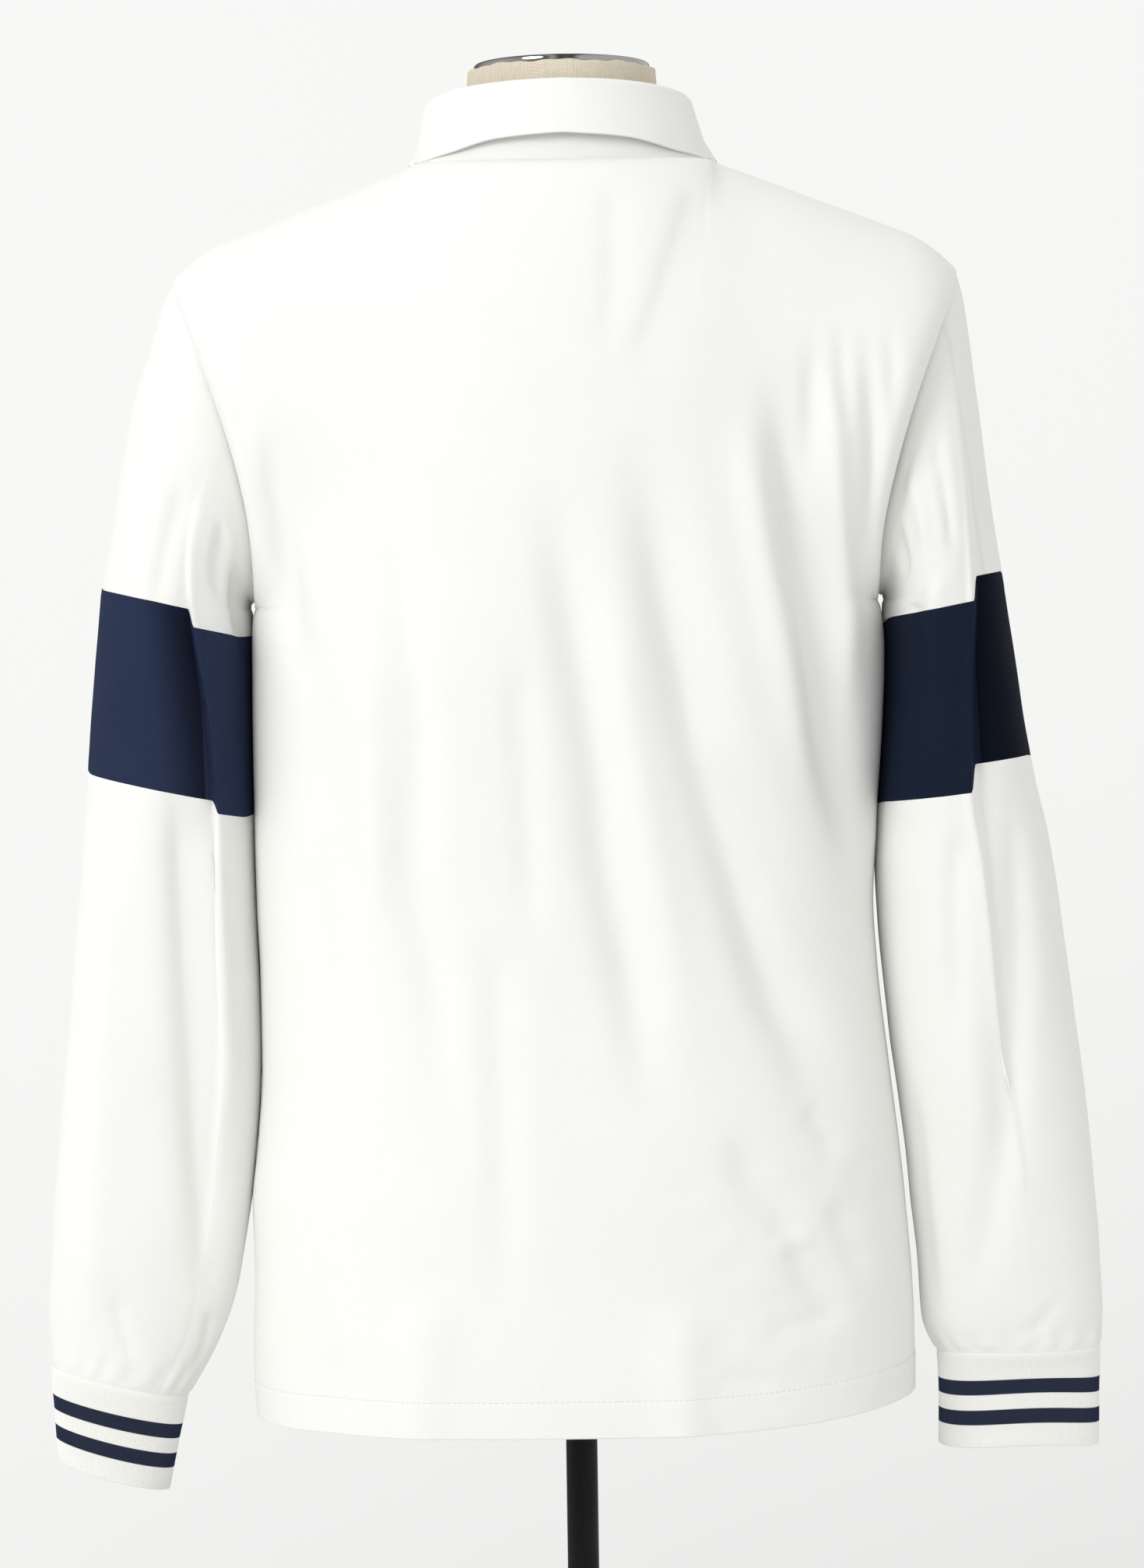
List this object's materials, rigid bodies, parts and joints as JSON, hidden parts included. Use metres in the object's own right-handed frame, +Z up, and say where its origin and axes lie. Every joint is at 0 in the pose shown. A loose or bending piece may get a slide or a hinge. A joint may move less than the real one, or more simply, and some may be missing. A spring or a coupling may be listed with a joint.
{
  "type": "long-sleeve polo shirt on a dress form",
  "caption": "Long-sleeve polo shirt with turned-down collar, banded upper sleeves and ribbed cuffs, worn by a limbless dress form on a pole with a round base",
  "frame": {"origin": "centre of the base's underside, on the floor below the pole", "axes": "+Z up along the pole; the garment's front faces -Y and its back +Y; the wearer's left is +X"},
  "size_m": [0.6228, 0.3, 1.1337],
  "materials": {
    "jersey": "heavy cotton jersey, matte",
    "navy_jersey": "heavy cotton jersey, matte, navy",
    "rib": "ribbed knit, white with two navy stripes",
    "woven": "plain woven cotton, matte",
    "button": "polished off-white",
    "linen": "coarse natural linen over a hard shell",
    "chrome": "polished",
    "black_steel": "satin black"
  },
  "bodies": {
    "root": {"back_panel": "jersey", "front_panel": "jersey", "left_sleeve_upper": "jersey", "left_sleeve_band": "navy_jersey", "left_sleeve_lower": "jersey", "left_cuff": "rib", "right_sleeve_upper": "jersey", "right_sleeve_band": "navy_jersey", "right_sleeve_lower": "jersey", "right_cuff": "rib", "collar": "woven", "placket": "woven", "button_1": "button", "button_2": "button", "button_3": "button", "form_torso": "linen", "neck_cap": "chrome", "pole": "black_steel", "base": "black_steel"}
  },
  "joints": []
}
